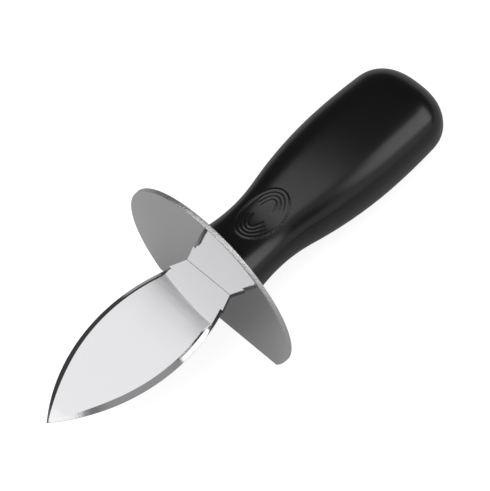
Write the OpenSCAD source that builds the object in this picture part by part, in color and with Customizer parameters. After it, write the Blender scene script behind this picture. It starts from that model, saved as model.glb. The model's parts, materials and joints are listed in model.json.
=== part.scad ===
// Oyster knife: leaf-shaped stamped blade, round sheet guard with one flat, moulded handle.
// The knife lies as it does on a table: the guard's flat and the heel of the handle touch z = 0,
// and the blade points along +X with its broad face up.

/* [Blade] */
// Length of the blade in front of the guard
blade_len = 67.5; // [58:0.1:80]
// Greatest width of the leaf
blade_w = 31.3; // [27:0.1:36]
// Distance from the guard to the greatest width
blade_belly = 27.3; // [23:0.1:32]
// Thickness of the blade in front of the guard
blade_t = 1.9; // [1.6:0.1:2.6]
// Width of the bevel ground along each edge
bevel_w = 1.9; // [1.2:0.1:2.6]
// Thickness left along the cutting edge
edge_t = 0.2; // [0.1:0.05:0.4]
// Length over which the blade thins toward the tip
taper_len = 20; // [10:0.5:28]
// Thickness of the blade at the tip, between the bevels
tip_t = 0.6; // [0.5:0.05:1.2]

/* [Shank] */
// Width of the shank where it meets the guard
root_w = 18.9; // [17:0.1:21]
// Width of the shank where the ground edges start
shank_w = 23.5; // [22.8:0.1:25]
// Length of the unground shank
shank_len = 5.4; // [3:0.1:7]
// Width of the bevels where they start in front of the shank
plunge = 1.2; // [0.8:0.1:1.6]
// Length over which the bevels then widen
run_out = 14; // [8:0.5:18]

/* [Tang] */
// Width of the tang that runs through the guard into the handle
tang_w = 13; // [10:0.5:15]
// Depth ground off each face of the blade, but not off the tang
polish = 0.05; // [0.02:0.01:0.15]
// Length of the tang behind the guard
tang_len = 62; // [50:1:70]
// Diameter of each anchor hole in the tang
anchor_d = 5; // [3:0.5:7]
// Number of anchor holes
anchors = 3; // [1:1:4]
// Gap left round the tang by the shrinkage of the moulding
tang_gap = 0.05; // [0.02:0.01:0.2]

/* [Guard] */
// Diameter of the guard
guard_d = 68.4; // [60:0.1:80]
// Thickness of the guard
guard_t = 1.6; // [1.2:0.1:2.5]
// Distance from the knife's axis down to the guard's flat
guard_flat = 22; // [20:0.5:26]
// Radius of the guard's two rounded rims
guard_edge = 0.25; // [0.1:0.05:0.45]
// Gap between the tang and the guard's slot
slot_gap = 0.05; // [0.02:0.01:0.2]

/* [Handle] */
// Length of the handle behind the guard
handle_len = 90.7; // [80:0.1:105]
// Width at the belly
belly_w = 34.9; // [30:0.1:40]
// Thickness at the belly
belly_t = 22.6; // [18:0.2:27]
// Distance from the guard to the belly
belly_x = 62.5; // [58:0.5:68]
// Width at the waist
waist_w = 24.5; // [20:0.1:28]
// Thickness at the waist
waist_t = 16; // [12:0.2:17.8]
// Distance from the guard to the waist
waist_x = 18.5; // [14:0.5:22]
// Radius of the flare between the waist and the guard
flare_r = 61; // [40:1:90]
// Radius of the hollow behind the waist
waist_r = 53; // [40:1:80]
// Radius of the sides between the belly and the rounded heel
heel_r = 228; // [150:1:400]
// Length of the rounded heel
heel_len = 12.3; // [10:0.1:20]
// Fullness of the rounded heel, where 2 is elliptical
heel_e = 2.5; // [2:0.1:3.5]
// Fullness of the cross-section, where 2 is elliptical
section_e = 2.4; // [2:0.1:3]

/* [Thumb rest] */
// Length of the ridged oval on the handle's upper side
rest_len = 20; // [16:0.5:24]
// Width of the ridged oval
rest_w = 13.5; // [12:0.5:15]
// Distance from the guard to the middle of the oval
rest_x = 22.5; // [18:0.5:26]
// Height of the oval's grooves over the handle
groove_h = 0.08; // [0.06:0.01:0.15]
// Height of its ridges over the handle
ridge_h = 0.25; // [0.2:0.05:0.5]
// Width of one ridge's flat top
ridge_w = 0.4; // [0.2:0.05:0.6]
// Width of each side of a ridge
ridge_side = 0.25; // [0.15:0.05:0.35]
// Distance from one ridge to the next
ridge_pitch = 1.3; // [1.2:0.05:1.5]

/* [Hidden] */
$fn = 96;
sides = 50;
rings_body = 30;
rings_heel = 12;
rest_turns = 48;
rest_sink = 0.5;
ridges = 4;
run_steps = 5;
taper_steps = 4;
past_tip = 1;
last_turn = 87;
cut = 100;

// Leaf: two equal arcs that pass the greatest width and meet at the tip
leaf_r = (pow(blade_len - blade_belly, 2) + pow(blade_w / 2, 2)) / blade_w;
leaf_c = leaf_r - blade_w / 2;

// Half width of the leaf at a place along it, of its edge or of a line inset from it
function leaf_y(x, inset) = sqrt(pow(leaf_r - inset, 2) - pow(x - blade_belly, 2)) - leaf_c;

// Half thickness of the leaf at a share of its thinning length
function taper_z(share) = (blade_t - (blade_t - tip_t) * share * share) / 2;

// Tang, as thick as the sheet was before the blade was ground, with evenly spread anchor holes
tang_t = blade_t + 2 * polish;
anchor_step = tang_len / (anchors + 1);

// Handle stations, measured from the back of the guard
heel_x = handle_len - heel_len;
stations = concat(
    [for (i = [0:rings_body]) heel_x * i / rings_body],
    [for (i = [1:rings_heel]) heel_x + heel_len * sin(last_turn * i / rings_heel)]
);

// Tilt at which the guard's flat and the handle's underside touch one plane
tilt = min([for (x = stations) if (x > waist_x) atan((guard_flat - flat_t(x)) / x)]);
tip_reach = blade_len * cos(tilt) + edge_t / 2 * sin(tilt);
heel_reach = max([for (x = stations) (x + guard_t) * cos(tilt) + flat_t(x) * sin(tilt)]);

// How far a circle of radius r has dropped at distance d from its top
function drop(r, d) = r - sqrt(r * r - d * d);

// Side line of the handle: flare, hollow, belly and heel arcs, each tangent to the next
function side_line(x, waist, belly) =
    let (
        run = belly_x - waist_x,
        rise = belly - waist,
        radii = (run * run + rise * rise) / (2 * rise),
        joint = waist_x + run * waist_r / radii
    )
    x < waist_x ? waist + drop(flare_r, waist_x - x) :
    x < joint ? waist + drop(waist_r, x - waist_x) :
    x < belly_x ? belly - drop(radii - waist_r, belly_x - x) :
    belly - drop(heel_r, x - belly_x);

// Share of the side line that is left in the rounded heel
function heel_share(x) =
    x <= heel_x ? 1 : pow(1 - pow((x - heel_x) / heel_len, heel_e), 1 / heel_e);

function half_w(x) = side_line(x, waist_w / 2, belly_w / 2) * heel_share(x);
function half_t(x) = side_line(x, waist_t / 2, belly_t / 2) * heel_share(x);

// Point of the cross-section, as a share of its half width and half thickness
function bulge(v) = sign(v) * pow(abs(v), 2 / section_e);

// Height of the flat strip between two corners of the section, on which the handle lies
function flat_t(x) = half_t(x) * bulge(cos(180 / sides));

function ring(x) = [
    for (k = [0:sides - 1])
        [-guard_t - x, half_w(x) * bulge(cos(360 * k / sides)), half_t(x) * bulge(sin(360 * k / sides))]
];

module lie_down() {
    translate([(heel_reach - tip_reach) / 2, 0, guard_flat * cos(tilt) + guard_t * sin(tilt)])
        rotate([0, -tilt, 0])
            children();
}

module handle_body() {
    last = len(stations) - 1;
    points = concat(
        [for (x = stations) each ring(x)],
        [[-guard_t, 0, 0]],
        [[-guard_t - handle_len, 0, 0]]
    );
    front = len(points) - 2;
    heel = len(points) - 1;
    skin = [
        for (i = [0:last - 1], k = [0:sides - 1])
            let (a = i * sides + k, b = i * sides + (k + 1) % sides)
            each [[a, b, a + sides], [b, b + sides, a + sides]]
    ];
    front_cap = [for (k = [0:sides - 1]) [front, (k + 1) % sides, k]];
    heel_cap = [for (k = [0:sides - 1]) [heel, last * sides + k, last * sides + (k + 1) % sides]];
    polyhedron(points = points, faces = concat(skin, front_cap, heel_cap));
}

// Height of the handle's upper side at a place along and across it
function top_z(x, y) = half_t(x) * pow(1 - pow(abs(y) / half_w(x), section_e), 1 / section_e);

// One closed loop of the oval at an inset from its outline and a height over the handle
function rest_loop(inset, height) = [
    for (k = [0:rest_turns - 1])
        let (
            x = rest_x + (rest_len / 2 - inset) * cos(360 * k / rest_turns),
            y = (rest_w / 2 - inset) * sin(360 * k / rest_turns)
        )
        [-guard_t - x, y, top_z(x, y) + height]
];

// Insets and heights of the loops, from the sunk outline over one ridge after another to the middle
rest_line = concat(
    [[0, -rest_sink]],
    [
        for (i = [0:ridges - 1])
            let (out = i * ridge_pitch, crest = out + ridge_side, back = crest + ridge_w)
            each [[out, groove_h], [crest, ridge_h], [back, ridge_h], [back + ridge_side, groove_h]]
    ]
);

// Ridged oval for the thumb, which stands on the handle's upper side
module thumb_rest() {
    last = len(rest_line) - 1;
    points = concat(
        [for (spot = rest_line) each rest_loop(spot[0], spot[1])],
        [[-guard_t - rest_x, 0, top_z(rest_x, 0) - 2 * rest_sink]],
        [[-guard_t - rest_x, 0, top_z(rest_x, 0) + groove_h]]
    );
    under = len(points) - 2;
    middle = len(points) - 1;
    skin = [
        for (i = [0:last - 1], k = [0:rest_turns - 1])
            let (a = i * rest_turns + k, b = i * rest_turns + (k + 1) % rest_turns)
            each [[a, b, a + rest_turns], [b, b + rest_turns, a + rest_turns]]
    ];
    under_cap = [for (k = [0:rest_turns - 1]) [under, (k + 1) % rest_turns, k]];
    top_cap = [
        for (k = [0:rest_turns - 1])
            [middle, last * rest_turns + k, last * rest_turns + (k + 1) % rest_turns]
    ];
    polyhedron(points = points, faces = concat(skin, under_cap, top_cap));
}

// Flat bar of the tang, grown by a gap on every side, with a half-round end
module tang_bar(gap) {
    round_x = -guard_t - tang_len + tang_w / 2;
    translate([round_x, -tang_w / 2 - gap, -tang_t / 2 - gap])
        cube([-round_x, tang_w + 2 * gap, tang_t + 2 * gap]);
    translate([round_x, 0, -tang_t / 2 - gap])
        cylinder(r = tang_w / 2 + gap, h = tang_t + 2 * gap);
}

module anchor_posts(radius) {
    for (i = [1:anchors])
        translate([-guard_t - anchor_step * i, 0, 0])
            cylinder(r = radius, h = 2 * tang_t, center = true);
}

// Disc with a ground rim, one half of the leaf's outline
module ground_disc(side) {
    translate([blade_belly, -side * leaf_c, 0])
        rotate_extrude()
            polygon([
                [0, -blade_t / 2],
                [leaf_r - bevel_w, -blade_t / 2],
                [leaf_r, -edge_t / 2],
                [leaf_r, edge_t / 2],
                [leaf_r - bevel_w, blade_t / 2],
                [0, blade_t / 2]
            ]);
}

// Side view of the leaf, which thins along a curve to the tip and runs on a little past it
module thinned_side() {
    start = blade_len - taper_len;
    step = taper_len / taper_steps;
    first_slope = (taper_z(0) - taper_z(1 / taper_steps)) / step;
    last_slope = (taper_z(1 - 1 / taper_steps) - taper_z(1)) / step;
    top = concat(
        [[shank_len, taper_z(0) + first_slope * (start - shank_len)]],
        [for (i = [1:taper_steps - 1]) [start + step * i, taper_z(i / taper_steps)]],
        [[blade_len + past_tip, taper_z(1) - last_slope * past_tip]]
    );
    bottom = [for (i = [len(top) - 1:-1:0]) [top[i].x, -top[i].y]];
    rotate([90, 0, 0])
        linear_extrude(height = 2 * cut, center = true)
            polygon(concat(top, bottom));
}

// Outline of the shank and of the walls beside the bevels: each starts round and closes on the bevel
module shank() {
    wall = concat(
        [[0, root_w / 2]],
        [[shank_len, shank_w / 2]],
        [
            for (turn = [30, 60, 90])
                let (x = shank_len + plunge * (1 - cos(turn)))
                [x, leaf_y(x, plunge * sin(turn))]
        ],
        [
            for (i = [1:run_steps])
                let (x = shank_len + plunge + run_out * i / run_steps)
                [x, leaf_y(x, plunge + (bevel_w - plunge) * i / run_steps)]
        ]
    );
    other = [for (i = [len(wall) - 1:-1:0]) [wall[i].x, -wall[i].y]];
    linear_extrude(height = blade_t, center = true)
        polygon(concat(wall, other));
}

module blade() {
    color("gainsboro")
        lie_down() {
            intersection() {
                ground_disc(1);
                ground_disc(-1);
                thinned_side();
            }
            shank();
            difference() {
                tang_bar(0);
                anchor_posts(anchor_d / 2);
            }
        }
}

// Half of the guard's cross-section, with both rims rounded
module rim_profile() {
    square([guard_d / 2 - guard_edge, guard_t]);
    translate([0, guard_edge])
        square([guard_d / 2, guard_t - 2 * guard_edge]);
    for (y = [guard_edge, guard_t - guard_edge])
        translate([guard_d / 2 - guard_edge, y])
            circle(r = guard_edge);
}

module guard() {
    color("silver")
        lie_down()
            difference() {
                rotate([0, -90, 0])
                    rotate_extrude()
                        rim_profile();
                translate([-cut, -cut, -guard_flat - cut])
                    cube([2 * cut, 2 * cut, cut]);
                cube([4 * guard_t, tang_w + 2 * slot_gap, tang_t + 2 * slot_gap], center = true);
            }
}

module handle() {
    color([0.08, 0.08, 0.085])
        lie_down()
            difference() {
                union() {
                    handle_body();
                    thumb_rest();
                }
                difference() {
                    tang_bar(tang_gap);
                    anchor_posts(anchor_d / 2 - tang_gap);
                }
            }
}

blade();
guard();
handle();
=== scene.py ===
import json
import math

import bmesh
import bpy
from bpy.props import FloatProperty, IntProperty, StringProperty
from mathutils import Matrix, Vector


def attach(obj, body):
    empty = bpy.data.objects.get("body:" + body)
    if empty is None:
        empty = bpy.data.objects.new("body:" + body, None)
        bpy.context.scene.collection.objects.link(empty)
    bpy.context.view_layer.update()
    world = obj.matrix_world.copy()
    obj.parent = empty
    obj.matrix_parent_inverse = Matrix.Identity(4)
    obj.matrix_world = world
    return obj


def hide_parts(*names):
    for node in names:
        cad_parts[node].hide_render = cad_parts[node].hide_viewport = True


bl_info = {
    "name": "Oyster knife",
    "version": (1, 0, 0),
    "blender": (4, 5, 0),
    "location": "View3D > Sidebar > Knife",
    "description": "Dresses the packed oyster knife: steel blade and guard, moulded handle",
    "category": "Object",
}

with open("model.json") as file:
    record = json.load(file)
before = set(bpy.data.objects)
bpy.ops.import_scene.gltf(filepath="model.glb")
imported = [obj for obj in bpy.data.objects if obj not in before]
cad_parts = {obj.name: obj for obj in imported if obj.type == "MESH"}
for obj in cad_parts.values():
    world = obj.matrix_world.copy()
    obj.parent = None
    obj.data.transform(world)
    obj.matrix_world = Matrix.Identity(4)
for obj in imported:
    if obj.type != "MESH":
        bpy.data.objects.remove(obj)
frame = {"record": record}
MM = 0.001


# Places

# The blade's flat mount tells how the knife lies: its normal is the knife's own up direction.
# It sits this far in front of the guard and this far above the knife's axis.
MOUNT_AHEAD = 30 * MM
MOUNT_ABOVE = 0.95 * MM


def knife_axes():
    """The knife's own axes in the frame: ahead to the tip, across, and up out of the blade's face."""
    mount = next(m for m in frame["record"]["mounts"] if m["name"] == "blade_face")
    up = Vector(mount["axis"]).normalized()
    across = Vector((0, 1, 0))
    ahead = across.cross(up).normalized()
    origin = Vector(mount["pos_m"]) - ahead * MOUNT_AHEAD - up * MOUNT_ABOVE
    place = Matrix.Identity(4)
    for column, axis in enumerate((ahead, across, up, origin)):
        for row in range(3):
            place[row][column] = axis[row]
    return place


KNIFE = knife_axes()


def knife_direction(vector):
    """A direction given along the knife's axes, in the frame."""
    return (KNIFE.to_3x3() @ Vector(vector)).normalized()


# Settings

def length(name, description, millimetres, least, most):
    """A length property, with its default and range given in millimetres."""
    return FloatProperty(name=name, description=description, default=millimetres * MM, min=least * MM,
                         max=most * MM, precision=5, unit="LENGTH")


class BladeSettings(bpy.types.PropertyGroup):
    """Sizes and looks of the blade. The tool marks are drawn coarser than real ones, so that they show."""
    colour: StringProperty(name="Steel", description="Colour of the ground stainless steel, sRGB hex",
                           default="CFCED0")
    reach: length("Length", "Length of the blade in front of the guard", 67.5, 58, 80)
    width: length("Width", "Greatest width of the leaf", 31.3, 27, 36)
    belly: length("Belly place", "Distance from the guard to the greatest width", 27.3, 23, 32)
    thickness: length("Thickness", "Thickness of the blade", 1.9, 1.6, 2.6)
    bevel: length("Bevel", "Width of the bevel ground along each edge", 1.9, 1.2, 2.6)
    edge: length("Edge", "Thickness left along the cutting edge", 0.2, 0.1, 0.4)
    taper_len: length("Thinning", "Length over which the blade thins toward the tip", 20, 10, 28)
    tip_t: length("Tip thickness", "Thickness of the blade at the tip, between the bevels", 0.6, 0.5, 1.2)
    root_w: length("Root width", "Width of the shank where it meets the guard", 18.9, 17, 21)
    shank_w: length("Shank width", "Width of the shank where the ground edges start", 23.5, 22.8, 25)
    shank_len: length("Shank length", "Length of the unground shank", 5.4, 3, 7)
    start_right: length("Right start", "Where the wheel starts to sink into the right side", 9, 2, 14)
    start_left: length("Left start", "Where the wheel starts to sink into the left side", 4, 2, 14)
    sweep_len: length("Sweep length", "Length over which the wheel sinks in", 6, 1, 8)
    roll: length("Roll-over", "Width of the rounded corner that blanking leaves on the side", 0.6, 0.1, 0.8)
    facet_end: length("Facet end", "Where the two facets of each bevel start to merge", 20, 14, 26)
    facet_fade: length("Facet fade", "Length over which the two facets merge", 8, 2, 12)
    shoulder: length("Shoulder break", "Small break of the edge where the shank meets the guard", 0.07, 0.02, 0.3)
    tang_w: length("Tang width", "Width of the tang in the handle", 13, 10, 15)
    tang_t: length("Tang thickness", "Thickness of the unground tang", 2, 1.7, 2.8)
    tang_len: length("Tang length", "Length of the tang behind the guard", 62, 50, 70)
    anchor_d: length("Anchor hole", "Diameter of each anchor hole in the tang", 5, 3, 7)
    anchors: IntProperty(name="Anchor holes", description="Number of anchor holes", default=3, min=1, max=4)
    line_pitch: length("Grinding lines", "Distance between the lines left by the grinding belt", 0.35, 0.1, 2)
    side_colour: StringProperty(name="Stamped side", description="Colour of the blade's unground sides, sRGB hex",
                                default="8A8A8D")
    side_mark: length("Side marks", "Distance between the punch's marks on the unground sides", 0.4, 0.1, 1)


class GuardSettings(bpy.types.PropertyGroup):
    """Sizes and looks of the guard. The marks on its rim are drawn coarser than real ones, so that they show."""
    colour: StringProperty(name="Steel", description="Colour of the polished stainless steel, sRGB hex",
                           default="CFCFD0")
    diameter: length("Diameter", "Diameter of the guard", 68.4, 60, 80)
    thickness: length("Thickness", "Thickness of the guard", 1.6, 1.2, 2.5)
    flat: length("Flat", "Distance from the knife's axis down to the guard's flat", 22, 20, 26)
    rim: length("Rim", "Radius of the guard's two rounded rims", 0.25, 0.1, 0.45)
    lean: length("Lean", "How much smaller blanking left the guard's radius in front than behind", 0.06, 0, 0.15)
    slot_gap: length("Slot gap", "Gap between the tang and the guard's slot", 0.05, 0.02, 0.2)
    rim_mark: length("Rim marks", "Distance between the marks of the blanking die on the rim", 0.4, 0.1, 1)


class HandleSettings(bpy.types.PropertyGroup):
    """Sizes and looks of the handle. The mould's grain is drawn coarser than a real one, so that it shows."""
    colour: StringProperty(name="Plastic", description="Colour of the black plastic, sRGB hex", default="080809")
    length: length("Length", "Length behind the guard", 90.7, 80, 105)
    belly_w: length("Belly width", "Width at the belly", 34.9, 30, 40)
    belly_t: length("Belly thickness", "Thickness at the belly", 22.6, 18, 27)
    belly_x: length("Belly place", "Distance from the guard to the belly", 62.5, 58, 68)
    waist_w: length("Waist width", "Width at the waist", 24.5, 20, 28)
    waist_t: length("Waist thickness", "Thickness at the waist", 16, 12, 18)
    waist_x: length("Waist place", "Distance from the guard to the waist", 18.5, 14, 22)
    flare_r: length("Flare radius", "Radius of the flare between the waist and the guard", 61, 40, 90)
    waist_r: length("Waist radius", "Radius of the hollow behind the waist", 53, 40, 80)
    heel_r: length("Side radius", "Radius of the sides behind the belly", 228, 150, 400)
    heel_len: length("Heel length", "Length of the rounded heel", 12.3, 10, 20)
    heel_e: FloatProperty(name="Heel fullness", description="Fullness of the rounded heel, where 2 is elliptical",
                          default=2.5, min=2, max=3.5)
    section_e: FloatProperty(name="Section fullness", default=2.4, min=2, max=3,
                             description="Fullness of the cross-section, where 2 is elliptical")
    skin: length("Skin", "How far the smooth skin lies inside the moulding's outer size", 0.02, 0, 0.1)
    rest_len: length("Thumb rest length", "Length of the ridged oval", 20, 16, 24)
    rest_w: length("Thumb rest width", "Width of the ridged oval", 13.5, 12, 15)
    rest_x: length("Thumb rest place", "Distance from the guard to the middle of the oval", 22.5, 18, 26)
    groove_h: length("Groove height", "Height of the oval's grooves over the handle", 0.08, 0.06, 0.15)
    ridge_h: length("Ridge height", "Height of its ridges over the handle", 0.25, 0.2, 0.5)
    ridge_w: length("Ridge width", "Width of one ridge at its foot", 0.9, 0.5, 1.1)
    ridge_pitch: length("Ridge pitch", "Distance from one ridge to the next", 1.3, 1.2, 1.5)
    ridges: IntProperty(name="Ridges", description="Number of ridges, one inside the other", default=4,
                        min=2, max=5)
    spark: length("Spark grain", "Grain of the spark-eroded mould", 0.35, 0.1, 1)
    sides: IntProperty(name="Sides", description="Points round one ring of the handle", default=120,
                       min=48, max=256)


# Materials

def linear(hex_colour):
    """sRGB hex to linear RGBA."""
    parts = [int(hex_colour[i:i + 2], 16) / 255 for i in (0, 2, 4)]
    return tuple(c / 12.92 if c <= 0.04045 else ((c + 0.055) / 1.055) ** 2.4 for c in parts) + (1.0,)


def add(tree, kind, settings=(), links=()):
    """Adds a node, sets its inputs or properties by name, and links (input, node, output) into it."""
    node = tree.nodes.new(kind)
    for name, value in dict(settings).items():
        if isinstance(name, int) or name in node.inputs:
            node.inputs[name].default_value = value
        else:
            setattr(node, name, value)
    for name, source, output in links:
        tree.links.new(source.outputs[output], node.inputs[name])
    return node


def new_material(name):
    """An empty material and its node tree."""
    material = bpy.data.materials.new(name)
    material.use_nodes = True
    material.node_tree.nodes.clear()
    return material, material.node_tree


def finish_material(material, tree, shader):
    """Links the shader to the output and gives the material back."""
    add(tree, "ShaderNodeOutputMaterial", links=[("Surface", shader, 0)])
    return material


def knife_place(tree):
    """The surface point along the knife's own axes, so that grinding lines follow the blade and not the table."""
    place = add(tree, "ShaderNodeTexCoord")
    turn = KNIFE.to_euler()
    return add(tree, "ShaderNodeMapping",
               {"vector_type": "TEXTURE", "Location": tuple(KNIFE.translation), "Rotation": tuple(turn)},
               [("Vector", place, "Object")])


def belt_ground_stainless(colour, line_pitch):
    """Stainless sheet, belt ground and buffed: faint lines across the blade that draw reflections out along it."""
    material, tree = new_material("belt_ground_stainless")
    place = knife_place(tree)
    across = 0.03 / line_pitch
    stretch = add(tree, "ShaderNodeMapping", {"Scale": (1 / line_pitch, across, 1 / line_pitch)},
                  [("Vector", place, 0)])
    lines = add(tree, "ShaderNodeTexNoise", {"Scale": 1.0, "Detail": 3.0, "Roughness": 0.6},
                [("Vector", stretch, 0)])
    cloud = add(tree, "ShaderNodeTexNoise", {"Scale": 1 / (14 * MM), "Detail": 2.0}, [("Vector", place, 0)])
    rough = add(tree, "ShaderNodeMapRange", {"To Min": 0.07, "To Max": 0.10}, [("Value", cloud, 0)])
    bump = add(tree, "ShaderNodeBump", {"Strength": 0.04, "Distance": 0.02 * MM}, [("Height", lines, 0)])
    shader = add(tree, "ShaderNodeBsdfPrincipled", {"Base Color": linear(colour), "Metallic": 1.0},
                 [("Roughness", rough, 0), ("Normal", bump, 0)])
    return finish_material(material, tree, shader)


def wheel_ground_bevel(colour, line_pitch, belly, centre):
    """The bevels, ground on a wheel: lines that run square to the edge and break the light into streaks."""
    material, tree = new_material("wheel_ground_bevel")
    place = knife_place(tree)
    parts = add(tree, "ShaderNodeSeparateXYZ", links=[(0, place, 0)])
    ahead = add(tree, "ShaderNodeMath", {"operation": "SUBTRACT", 1: belly}, [(0, parts, "X")])
    beside = add(tree, "ShaderNodeMath", {"operation": "ABSOLUTE"}, [(0, parts, "Y")])
    outward = add(tree, "ShaderNodeMath", {"operation": "ADD", 1: centre}, [(0, beside, 0)])
    turn = add(tree, "ShaderNodeMath", {"operation": "ARCTAN2"}, [(0, ahead, 0), (1, outward, 0)])
    along = add(tree, "ShaderNodeMath", {"operation": "MULTIPLY", 1: centre / line_pitch}, [(0, turn, 0)])
    lines = add(tree, "ShaderNodeTexNoise",
                {"noise_dimensions": "1D", "Scale": 1.0, "Detail": 4.0, "Roughness": 0.7}, [("W", along, 0)])
    rough = add(tree, "ShaderNodeMapRange", {"To Min": 0.06, "To Max": 0.13}, [("Value", lines, 0)])
    bump = add(tree, "ShaderNodeBump", {"Strength": 0.25, "Distance": 0.02 * MM}, [("Height", lines, 0)])
    shader = add(tree, "ShaderNodeBsdfPrincipled", {"Base Color": linear(colour), "Metallic": 1.0},
                 [("Roughness", rough, 0), ("Normal", bump, 0)])
    return finish_material(material, tree, shader)


def mirror_polished_stainless(colour):
    """Stainless sheet, blanked from polished stock: a clear mirror, slightly clouded by handling."""
    material, tree = new_material("mirror_polished_stainless")
    place = knife_place(tree)
    cloud = add(tree, "ShaderNodeTexNoise", {"Scale": 1 / (9 * MM), "Detail": 3.0}, [("Vector", place, 0)])
    grain = add(tree, "ShaderNodeTexNoise", {"Scale": 1 / (0.4 * MM), "Detail": 2.0}, [("Vector", place, 0)])
    rough = add(tree, "ShaderNodeMapRange", {"To Min": 0.05, "To Max": 0.09}, [("Value", cloud, 0)])
    bump = add(tree, "ShaderNodeBump", {"Strength": 0.02, "Distance": 0.01 * MM}, [("Height", grain, 0)])
    shader = add(tree, "ShaderNodeBsdfPrincipled", {"Base Color": linear(colour), "Metallic": 1.0},
                 [("Roughness", rough, 0), ("Normal", bump, 0)])
    return finish_material(material, tree, shader)


def sheared_edge(name, colour, mark_pitch, depth, least_rough):
    """A blanked edge of the sheet: short torn marks through its thickness, tumbled to a broken glint."""
    material, tree = new_material(name)
    place = knife_place(tree)
    stretch = add(tree, "ShaderNodeMapping", {"Scale": (0.5 / mark_pitch, 1 / mark_pitch, 1 / mark_pitch)},
                  [("Vector", place, 0)])
    marks = add(tree, "ShaderNodeTexNoise", {"Scale": 1.0, "Detail": 4.0, "Roughness": 0.75},
                [("Vector", stretch, 0)])
    rough = add(tree, "ShaderNodeMapRange", {"To Min": least_rough, "To Max": 2 * least_rough},
                [("Value", marks, 0)])
    bump = add(tree, "ShaderNodeBump", {"Strength": depth, "Distance": 0.15 * MM}, [("Height", marks, 0)])
    shader = add(tree, "ShaderNodeBsdfPrincipled", {"Base Color": linear(colour), "Metallic": 1.0},
                 [("Roughness", rough, 0), ("Normal", bump, 0)])
    return finish_material(material, tree, shader)


def moulded_black_plastic(colour, spark):
    """Black polypropylene from a fine-sparked mould: deep black body under a soft, slightly grained gloss."""
    material, tree = new_material("moulded_black_polypropylene")
    place = knife_place(tree)
    grain = add(tree, "ShaderNodeTexNoise", {"Scale": 1 / spark, "Detail": 3.0, "Roughness": 0.6},
                [("Vector", place, 0)])
    cloud = add(tree, "ShaderNodeTexNoise", {"Scale": 1 / (20 * MM), "Detail": 3.0}, [("Vector", place, 0)])
    rough = add(tree, "ShaderNodeMapRange", {"To Min": 0.22, "To Max": 0.27}, [("Value", cloud, 0)])
    bump = add(tree, "ShaderNodeBump", {"Strength": 0.06, "Distance": 0.03 * MM}, [("Height", grain, 0)])
    shader = add(tree, "ShaderNodeBsdfPrincipled", {"Base Color": linear(colour), "IOR": 1.53},
                 [("Roughness", rough, 0), ("Normal", bump, 0)])
    return finish_material(material, tree, shader)


# How much of the white floor and of the white surround shows in mirrored light. The photographed knife lay in a
# dim room, so its steel mirrors a mid-grey table, though the picture's background is white.
MIRRORED_FLOOR = 0.12
MIRRORED_ROOM = 0.04


def white_share(tree, mirrored_share):
    """1 where the camera looks, or sees through something clear, and a small share in mirrored light."""
    path = add(tree, "ShaderNodeLightPath")
    mirrored = add(tree, "ShaderNodeMath", {"operation": "MULTIPLY", 1: mirrored_share},
                   [(0, path, "Is Glossy Ray")])
    clear = add(tree, "ShaderNodeMath", {"operation": "MAXIMUM"},
                [(0, path, "Is Camera Ray"), (1, path, "Is Transmission Ray")])
    return add(tree, "ShaderNodeMath", {"operation": "MAXIMUM"}, [(0, clear, 0), (1, mirrored, 0)])


def pale_floor(colour, glow):
    """Matt table that looks white from above, with the knife's soft shadow left on it."""
    material, tree = new_material("pale_floor")
    share = white_share(tree, MIRRORED_FLOOR)
    strength = add(tree, "ShaderNodeMath", {"operation": "MULTIPLY", 1: glow}, [(0, share, 0)])
    matt = add(tree, "ShaderNodeBsdfDiffuse", {"Color": linear(colour)})
    white = add(tree, "ShaderNodeEmission", {"Color": (1, 1, 1, 1)}, [("Strength", strength, 0)])
    both = add(tree, "ShaderNodeAddShader", links=[(0, matt, 0), (1, white, 0)])
    return finish_material(material, tree, both)


def dim_studio(level):
    """World: a dim room for the object, plain white for the camera."""
    world = bpy.data.worlds.new("studio")
    world.use_nodes = True
    tree = world.node_tree
    tree.nodes.clear()
    share = white_share(tree, MIRRORED_ROOM)
    room = add(tree, "ShaderNodeBackground", {"Color": (level, level, level, 1)})
    white = add(tree, "ShaderNodeBackground", {"Color": (1, 1, 1, 1)})
    mix = add(tree, "ShaderNodeMixShader", links=[(0, share, 0), (1, room, 0), (2, white, 0)])
    add(tree, "ShaderNodeOutputWorld", links=[("Surface", mix, 0)])
    return world


# Shapes

# A distance too small to see
HAIR = 0.001 * MM


def knife_solid(name, verts, faces, materials):
    """A closed mesh from points along the knife's own axes. Points closer than a tenth of a hair are merged."""
    merged = HAIR / 10
    mesh = bpy.data.meshes.new(name)
    mesh.from_pydata([KNIFE @ Vector(v) for v in verts], [], faces)
    shell = bmesh.new()
    shell.from_mesh(mesh)
    bmesh.ops.remove_doubles(shell, verts=shell.verts, dist=merged)
    bmesh.ops.dissolve_degenerate(shell, edges=shell.edges, dist=merged)
    bmesh.ops.recalc_face_normals(shell, faces=shell.faces)
    shell.to_mesh(mesh)
    shell.free()
    obj = bpy.data.objects.new(name, mesh)
    bpy.context.scene.collection.objects.link(obj)
    for material in materials:
        mesh.materials.append(material)
    return obj


def shade(obj, sharp_degrees):
    """Smooth shading, but for edges that turn by more than an angle."""
    for face in obj.data.polygons:
        face.use_smooth = True
    obj.data.set_sharp_from_angle(angle=math.radians(sharp_degrees))


def cut_away(obj, cutters):
    """Takes the cutters out of the object for good and removes them."""
    for cutter in cutters:
        modifier = obj.modifiers.new("cut", "BOOLEAN")
        modifier.operation = "DIFFERENCE"
        modifier.solver = "EXACT"
        modifier.object = cutter
    bpy.context.view_layer.update()
    ready = obj.evaluated_get(bpy.context.evaluated_depsgraph_get())
    mesh = bpy.data.meshes.new_from_object(ready)
    obj.modifiers.clear()
    old = obj.data
    obj.data = mesh
    bpy.data.meshes.remove(old)
    mesh.name = obj.name
    for cutter in cutters:
        bpy.data.objects.remove(cutter)


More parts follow.
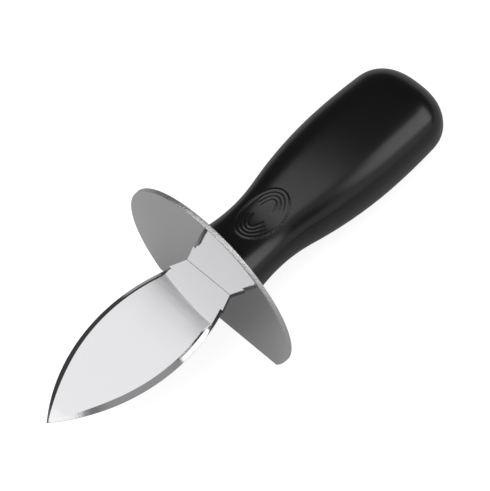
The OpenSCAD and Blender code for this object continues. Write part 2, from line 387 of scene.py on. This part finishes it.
def block(low, high):
    """A cutter: a box between two corners along the knife's axes."""
    verts = [(x, y, z) for x in (low[0], high[0]) for y in (low[1], high[1]) for z in (low[2], high[2])]
    faces = [(0, 1, 3, 2), (4, 6, 7, 5), (0, 4, 5, 1), (2, 3, 7, 6), (0, 2, 6, 4), (1, 5, 7, 3)]
    return knife_solid("cutter", verts, faces, [])


def post(x, radius, half_height, turns=48):
    """A cutter: an upright round post on the knife's middle line."""
    around = [2 * math.pi * k / turns for k in range(turns)]
    verts = [(x + radius * math.cos(a), radius * math.sin(a), z)
             for z in (-half_height, half_height) for a in around]
    faces = [(k, (k + 1) % turns, turns + (k + 1) % turns, turns + k) for k in range(turns)]
    faces += [tuple(reversed(range(turns))), tuple(range(turns, 2 * turns))]
    return knife_solid("cutter", verts, faces, [])


def skin_rings(rings):
    """Faces that join closed rings of equally many points, with a cap at each end."""
    n = len(rings[0])
    faces = [(i * n + k, i * n + (k + 1) % n, (i + 1) * n + (k + 1) % n, (i + 1) * n + k)
             for i in range(len(rings) - 1) for k in range(n)]
    faces += [tuple(reversed(range(n))), tuple(range((len(rings) - 1) * n, len(rings) * n))]
    return [point for ring in rings for point in ring], faces


def drop(radius, distance):
    """How far a circle has dropped at a distance from its top."""
    return radius - math.sqrt(radius * radius - distance * distance)


# Where the two facets of the first part of a bevel meet, as a share of its width
FACET_SHARE = 0.65
# Slope of the inner facet there, as a share of the bevel's mean slope
INNER_SLOPE = 0.4
# How much of the sheet's half thickness is upright below its rolled-over corner
UPRIGHT = 0.3
# Least width of a bevel where it starts
LEAST_BEVEL = 0.02 * MM
# Steps along the blade, where the wheel sinks in and beyond
FINE_STEP = 0.1 * MM
STEP = 0.3 * MM


class LeafForm:
    """The blade in front of the guard: two equal arcs that meet at the tip, their bevels, and the shank."""

    def __init__(self, s):
        self.s = s
        self.radius = ((s.reach - s.belly) ** 2 + (s.width / 2) ** 2) / s.width
        self.centre = self.radius - s.width / 2

    def arc(self, x, inset=0.0):
        """Half width at a place along the blade, of the edge or of a line inset from it."""
        away = (self.radius - inset) ** 2 - (x - self.s.belly) ** 2
        return max(0.0, math.sqrt(max(0.0, away)) - self.centre)

    def top(self, x):
        """Half thickness of the face, which thins along a curve toward the tip."""
        s = self.s
        share = max(0.0, 1 - (s.reach - x) / s.taper_len)
        return (s.thickness - (s.thickness - s.tip_t) * share * share) / 2

    def unground(self, x, y):
        """1 where the wheel has not reached that side of the sheet yet, and 0 from where it has sunk in fully."""
        start = self.s.start_right if y > 0 else self.s.start_left
        share = min(1.0, max(0.0, (x - start) / self.s.sweep_len))
        return 1 - share * share * (3 - 2 * share)

    def is_blanked(self, x, y):
        """Whether a place near the outline is still the blanked side of the sheet."""
        return x < self.s.shank_len or self.arc(x) - abs(y) < self.s.roll * self.unground(x, y)

    def side(self, x, y):
        """Eight points round one side of the blade: the face, the bevel's two facets, the rest of the side."""
        s = self.s
        top, low = self.top(x), s.edge / 2
        if x <= s.shank_len:
            crest = s.root_w / 2 + (s.shank_w - s.root_w) / 2 * x / s.shank_len
            top -= max(0.0, s.shoulder - x)
            half = [(x, crest, top), (x, crest, top / 2), (x, crest, top / 4), (x, crest, low)]
        else:
            rest = self.unground(x, y)
            ridge = s.bevel * (top - low) / (s.thickness / 2 - low)
            crest, wall = min(ridge, s.bevel + (s.roll - s.bevel) * rest), s.roll * rest
            crest = max(crest, wall + LEAST_BEVEL)
            wall_top = low + (top - low) * (rest + (1 - rest) * wall / crest)
            meet = wall + FACET_SHARE * (crest - wall)
            even = min(1.0, max(0.0, (x - s.facet_end) / s.facet_fade))
            slope = INNER_SLOPE + (1 - INNER_SLOPE) * even
            height = top - slope * (top - wall_top) * (1 - FACET_SHARE)
            line = [(crest, top), (meet, height), (wall, wall_top), (0.0, low + UPRIGHT * (top - low) * rest)]
            half = [(x, self.arc(x, inset), z) for inset, z in line]
        return half + [(x, beside, -z) for x, beside, z in reversed(half)]

    def section(self, x):
        """Points round the whole blade at a place along it."""
        right, left = self.side(x, 1), self.side(x, -1)
        return right + [(x, -beside, z) for x, beside, z in reversed(left)]

    def places(self):
        """Where the blade's sections are taken, from the guard to just short of the tip."""
        s = self.s
        found = [0.0, s.shoulder, s.shank_len, s.shank_len + HAIR, s.reach - 20 * HAIR]
        x = s.shank_len
        while x < s.reach - 2 * STEP:
            x += FINE_STEP if x < s.start_right + s.sweep_len else STEP
            found.append(x)
        return sorted(found)


def tang_outline(s, guard_t, turns=32):
    """Closed ring of the tang's outline, at its half thickness above and below."""
    end = -guard_t - s.tang_len + s.tang_w / 2
    half = s.tang_w / 2
    arc = [math.pi / 2 + math.pi * i / turns for i in range(turns + 1)]
    line = [(0.0, half)] + [(end + half * math.cos(a), half * math.sin(a)) for a in arc] + [(0.0, -half)]
    return [[(x, y, z) for x, y in line] for z in (s.tang_t / 2, -s.tang_t / 2)]


def guard_rings(s, turns=288, flat_points=24, rim_steps=5):
    """Rings of the D-shaped guard from its front to its back, each an arc closed by the flat's chord."""
    quarter = [math.pi / 2 * i / rim_steps for i in range(rim_steps + 1)]
    curl = [(s.rim * (1 - math.sin(a)), s.diameter / 2 - s.rim * (1 - math.cos(a))) for a in reversed(quarter)]
    profile = [(-x, radius - s.lean) for x, radius in curl]
    profile += [(x - s.thickness, radius) for x, radius in reversed(curl)]
    rings = []
    for x, radius in profile:
        start = math.asin(-s.flat / radius)
        sweep = math.pi - 2 * start
        arc = [start + sweep * i / turns for i in range(turns + 1)]
        ring = [(x, radius * math.cos(a), radius * math.sin(a)) for a in arc]
        chord = radius * math.cos(start)
        ring += [(x, -chord + 2 * chord * i / flat_points, -s.flat) for i in range(1, flat_points)]
        rings.append(ring)
    return rings


# Where the thumb oval's inner ridges fade, as the cosine of the angle from its long axis: they lie flush up to
# the first and have their full height from the second
RIDGE_GONE = 0.32
RIDGE_FULL = 0.72
# Width of the rounding at the handle's front face
FRONT_ROUND = 0.5 * MM
# Steps along the handle, in its front rounding, across the thumb oval and elsewhere
FRONT_STEPS = (0.0, 0.15 * MM, 0.35 * MM, 0.6 * MM)
OVAL_STEP = 0.22 * MM
BODY_STEP = 1.0 * MM
HEEL_STEPS = 26


class HandleForm:
    """Outline of the handle: flare, hollow, belly and heel arcs, each tangent to the next."""

    def __init__(self, s):
        self.s = s
        self.heel_x = s.length - s.heel_len

    def side_line(self, x, waist, belly):
        """Half size at a distance behind the guard, from the half sizes at the waist and the belly."""
        s = self.s
        run, rise = s.belly_x - s.waist_x, belly - waist
        radii = (run * run + rise * rise) / (2 * rise)
        if x < s.waist_x:
            return waist + drop(s.flare_r, s.waist_x - x)
        if x < s.waist_x + run * s.waist_r / radii:
            return waist + drop(s.waist_r, x - s.waist_x)
        if x < s.belly_x:
            return belly - drop(radii - s.waist_r, s.belly_x - x)
        return belly - drop(s.heel_r, x - s.belly_x)

    def heel_share(self, x):
        """1 up to the heel, and from there how far the heel has not yet closed."""
        if x <= self.heel_x:
            return 1.0
        t = min(1.0, (x - self.heel_x) / self.s.heel_len)
        return (1 - t ** self.s.heel_e) ** (1 / self.s.heel_e)

    def half_w(self, x):
        """Half width at a distance behind the guard."""
        return self.side_line(x, self.s.waist_w / 2, self.s.belly_w / 2) * self.heel_share(x) - self.s.skin

    def half_t(self, x):
        """Half thickness at a distance behind the guard."""
        return self.side_line(x, self.s.waist_t / 2, self.s.belly_t / 2) * self.heel_share(x) - self.s.skin

    def bulge(self, v):
        """Turns a sine or cosine into the fuller one of the handle's section."""
        return math.copysign(abs(v) ** (2 / self.s.section_e), v)

    def oval_inset(self, x, y):
        """How far a point of the upper side lies inside the thumb oval's outline, or less than 0 outside it."""
        s = self.s
        half_l, half_w = s.rest_len / 2, s.rest_w / 2
        along, beside = abs(x - s.rest_x), abs(y)
        if math.hypot(along / half_l, beside / half_w) >= 1:
            return -1.0
        least, most = 0.0, half_w
        for _ in range(20):
            inset = (least + most) / 2
            inside = math.hypot(along / (half_l - inset), beside / (half_w - inset)) < 1
            least, most = (inset, most) if inside else (least, inset)
        return least

    def rest(self, x, y):
        """Height of the thumb oval over the handle at a point of its upper side."""
        s = self.s
        inset = self.oval_inset(x, y)
        if inset < 0:
            return 0.0
        place = inset % s.ridge_pitch
        if inset >= s.ridges * s.ridge_pitch or place > s.ridge_w:
            return s.groove_h
        wave = 0.5 - 0.5 * math.cos(2 * math.pi * place / s.ridge_w)
        if inset > s.ridge_pitch:
            wave *= self.end_share(x, y)
        return s.groove_h + (s.ridge_h - s.groove_h) * wave

    def end_share(self, x, y):
        """1 at the two ends of the thumb oval and 0 along its sides, where the inner ridges lie flush."""
        s = self.s
        along, beside = abs(x - s.rest_x) / s.rest_len, abs(y) / s.rest_w
        turned = along / max(math.hypot(along, beside), MM)
        share = min(1.0, max(0.0, (turned - RIDGE_GONE) / (RIDGE_FULL - RIDGE_GONE)))
        return share * share * (3 - 2 * share)

    def stations(self):
        """Distances behind the guard at which the handle's rings are taken."""
        s = self.s
        near_oval = s.rest_len / 2 + MM
        found = list(FRONT_STEPS)
        x = found[-1]
        while x < self.heel_x:
            x += OVAL_STEP if abs(x - s.rest_x) < near_oval else BODY_STEP
            found.append(min(x, self.heel_x))
        heel = [math.sin(math.pi / 2 * i / HEEL_STEPS) for i in range(1, HEEL_STEPS)]
        return found + [self.heel_x + s.heel_len * share for share in heel]

    def turns(self):
        """Angles of one ring's points, closer together on the upper side, where the thumb oval lies."""
        s = self.s
        dense_share, dense_points = 0.62, 56
        shares = [dense_share * (1 - 2 * i / dense_points) for i in range(dense_points + 1)]
        dense = [math.acos(math.copysign(abs(share) ** (s.section_e / 2), share)) for share in shares]
        step = 2 * math.pi / s.sides
        round_the_rest = 2 * math.pi - (dense[-1] - dense[0])
        count = round(round_the_rest / step)
        return dense + [dense[-1] + round_the_rest * i / count for i in range(1, count)]


def handle_rings(s, front):
    """Rings from the handle's front face, behind the guard, to its heel, with the thumb oval's ridges raised."""
    form = HandleForm(s)
    rings = []
    for x in form.stations():
        w, t = form.half_w(x), form.half_t(x)
        inset = drop(FRONT_ROUND, FRONT_ROUND - x) if x < FRONT_ROUND else 0.0
        ring = []
        for turn in form.turns():
            y = (w - inset) * form.bulge(math.cos(turn))
            z = (t - inset) * form.bulge(math.sin(turn))
            ring.append((-front - x, y, z + form.rest(x, y) if z > 0 else z))
        rings.append(ring)
    return rings


# Operators

class KNIFE_OT_blade(bpy.types.Operator):
    """Build the blade: leaf with two ground bevels, shank and the tang with its anchor holes"""
    bl_idname = "knife.blade"
    bl_label = "Blade"

    def execute(self, context):
        s = context.scene.knife_blade
        guard_t = context.scene.knife_guard.thickness
        form = LeafForm(s)
        verts, faces = skin_rings([form.section(x) for x in form.places()])
        tang, tang_faces = skin_rings(tang_outline(s, guard_t))
        faces += [tuple(len(verts) + i for i in face) for face in tang_faces]
        finishes = [belt_ground_stainless(s.colour, s.line_pitch),
                    wheel_ground_bevel(s.colour, s.line_pitch, s.belly, form.centre),
                    sheared_edge("stamped_stainless_side", s.side_colour, s.side_mark, depth=0.35,
                                 least_rough=0.25)]
        blade = knife_solid("ground_blade", verts + tang, faces, finishes)
        step = s.tang_len / (s.anchors + 1)
        cut_away(blade, [post(-guard_t - step * (i + 1), s.anchor_d / 2, s.tang_t)
                         for i in range(s.anchors)])
        up, into_knife, flat_least = knife_direction((0, 0, 1)), KNIFE.inverted(), 0.99
        for face in blade.data.polygons:
            place = into_knife @ face.center
            beside = 2 if form.is_blanked(place.x, place.y) else 1
            face.material_index = beside if abs(face.normal.dot(up)) < flat_least else 0
        shade(blade, sharp_degrees=4)
        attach(blade, "root")
        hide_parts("blade")
        return {"FINISHED"}


class KNIFE_OT_guard(bpy.types.Operator):
    """Build the round sheet guard with its flat, rounded rims and slot"""
    bl_idname = "knife.guard"
    bl_label = "Guard"

    def execute(self, context):
        s, blade = context.scene.knife_guard, context.scene.knife_blade
        verts, faces = skin_rings(guard_rings(s))
        finishes = [mirror_polished_stainless(s.colour),
                    sheared_edge("sheared_stainless_rim", s.colour, s.rim_mark, depth=1.0,
                                 least_rough=0.13)]
        guard = knife_solid("polished_guard", verts, faces, finishes)
        half_w, half_t = blade.tang_w / 2 + s.slot_gap, blade.tang_t / 2 + s.slot_gap
        cut_away(guard, [block((-2 * s.thickness, -half_w, -half_t), (s.thickness, half_w, half_t))])
        ahead, face_least = knife_direction((1, 0, 0)), 0.97
        for face in guard.data.polygons:
            face.material_index = int(abs(face.normal.dot(ahead)) < face_least)
        shade(guard, sharp_degrees=20)
        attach(guard, "root")
        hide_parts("guard")
        return {"FINISHED"}


class KNIFE_OT_handle(bpy.types.Operator):
    """Build the moulded handle with its ridged thumb oval"""
    bl_idname = "knife.handle"
    bl_label = "Handle"

    def execute(self, context):
        s = context.scene.knife_handle
        verts, faces = skin_rings(handle_rings(s, context.scene.knife_guard.thickness))
        handle = knife_solid("moulded_handle", verts, faces, [moulded_black_plastic(s.colour, s.spark)])
        shade(handle, sharp_degrees=60)
        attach(handle, "root")
        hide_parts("handle")
        return {"FINISHED"}


def soft_box(name, centre, size, radiance, mirrored=True):
    """An oblong soft light, placed in metres along the knife's axes, that faces the guard.

    Its first side lies along the knife. Its radiance is what a mirror shows of it. A light that isn't mirrored
    only lifts the matt surfaces.
    """
    lamp = bpy.data.lights.new(name, "AREA")
    lamp.shape = "RECTANGLE"
    lamp.size, lamp.size_y = size
    lamp.energy = radiance * math.pi * size[0] * size[1]
    obj = bpy.data.objects.new(name, lamp)
    bpy.context.scene.collection.objects.link(obj)
    back = Vector(centre).normalized()
    side = (Vector((1, 0, 0)) - back * back.x).normalized()
    place = Matrix.Identity(4)
    for column, axis in enumerate((side, back.cross(side), back)):
        for row, value in enumerate(knife_direction(axis)):
            place[row][column] = value
    place.translation = KNIFE @ Vector(centre)
    obj.matrix_world = place
    obj.visible_glossy = mirrored
    return obj


class KNIFE_OT_stage(bpy.types.Operator):
    """Lay the pale floor, hang the soft boxes and place the camera"""
    bl_idname = "knife.stage"
    bl_label = "Stage"

    def execute(self, context):
        scene = context.scene
        scene.view_settings.view_transform = "Standard"

        half = 3.0
        corners = [(-half, -half, 0), (half, -half, 0), (half, half, 0), (-half, half, 0)]
        mesh = bpy.data.meshes.new("table")
        mesh.from_pydata(corners, [], [(0, 1, 2, 3)])
        mesh.materials.append(pale_floor("939393", 0.86))
        table = bpy.data.objects.new("table", mesh)
        scene.collection.objects.link(table)

        scene.world = dim_studio(0.03)
        # The blade's face mirrors the two keys, and the shaded band near the shank is the first one's edge. The
        # right bevel mirrors the edge card. The boxes at the back light its bright start and the handle's gloss.
        soft_box("key", (-0.126, -0.185, 0.68), (0.142, 0.77), 1.22)
        soft_box("key_front", (0.165, -0.185, 0.68), (0.466, 0.77), 1.4)
        soft_box("edge_card", (0.03, 0.28, 0.68), (0.43, 0.16), 0.36)
        soft_box("front_card", (0.60, 0.42, 0.65), (0.4, 0.5), 0.5)
        soft_box("front_wall", (1.0, -0.25, 0.38), (0.6, 1.3), 0.9)
        soft_box("left_wall", (0.55, -1.2, 0.32), (0.7, 0.5), 0.35)
        soft_box("back_box", (-0.62, 0.44, 0.63), (0.68, 0.6), 2.0)
        soft_box("bevel_box", (-0.28, 0.596, 0.788), (0.12, 0.40), 2.0)
        soft_box("side_wall", (-0.25, 0.75, 0.3), (1.0, 0.5), 0.6)
        soft_box("fill", (0.1, 0.1, 1.3), (1.6, 1.6), 2.0, mirrored=False)

        # The camera stands where the photograph's stood, found from the guard's rim and the blade's outline.
        lens_mm, sensor_mm = 281.9, 36.0
        right, up = (-0.7124, 0.6916, -0.1192), (-0.6338, -0.5611, 0.5324)
        back = (0.3014, 0.4548, 0.838)
        stand = Vector((0.33705, 0.53209, 0.98095))
        camera = bpy.data.cameras.new("camera")
        camera.lens, camera.sensor_width = lens_mm, sensor_mm
        camera.clip_start, camera.clip_end = 0.01, 20
        obj = bpy.data.objects.new("camera", camera)
        scene.collection.objects.link(obj)
        pose = Matrix.Identity(4)
        for column, axis in enumerate((right, up, back)):
            for row, value in enumerate(knife_direction(axis)):
                pose[row][column] = value
        pose.translation = KNIFE @ stand
        obj.matrix_world = pose
        scene.camera = obj
        return {"FINISHED"}


class KNIFE_PT_panel(bpy.types.Panel):
    """Lists the knife's pieces in the sidebar"""
    bl_label = "Oyster knife"
    bl_idname = "KNIFE_PT_panel"
    bl_space_type = "VIEW_3D"
    bl_region_type = "UI"
    bl_category = "Knife"

    def draw(self, context):
        """Draws one button for each operator."""
        for operator in OPERATORS:
            self.layout.operator(operator.bl_idname)


SETTINGS = {"knife_blade": BladeSettings, "knife_guard": GuardSettings, "knife_handle": HandleSettings}
OPERATORS = (KNIFE_OT_blade, KNIFE_OT_guard, KNIFE_OT_handle, KNIFE_OT_stage)


def register():
    """Registers the classes and hangs the settings on the scene."""
    for cls in (*SETTINGS.values(), *OPERATORS, KNIFE_PT_panel):
        bpy.utils.register_class(cls)
    for name, cls in SETTINGS.items():
        setattr(bpy.types.Scene, name, bpy.props.PointerProperty(type=cls))


def unregister():
    """Takes the settings off the scene and the classes out."""
    for name in SETTINGS:
        delattr(bpy.types.Scene, name)
    for cls in reversed((*SETTINGS.values(), *OPERATORS, KNIFE_PT_panel)):
        bpy.utils.unregister_class(cls)


def main():
    """Builds the stage and the three pieces."""
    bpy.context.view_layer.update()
    register()
    bpy.ops.knife.stage()
    bpy.ops.knife.blade()
    bpy.ops.knife.guard()
    bpy.ops.knife.handle()


if __name__ == "__main__":
    main()
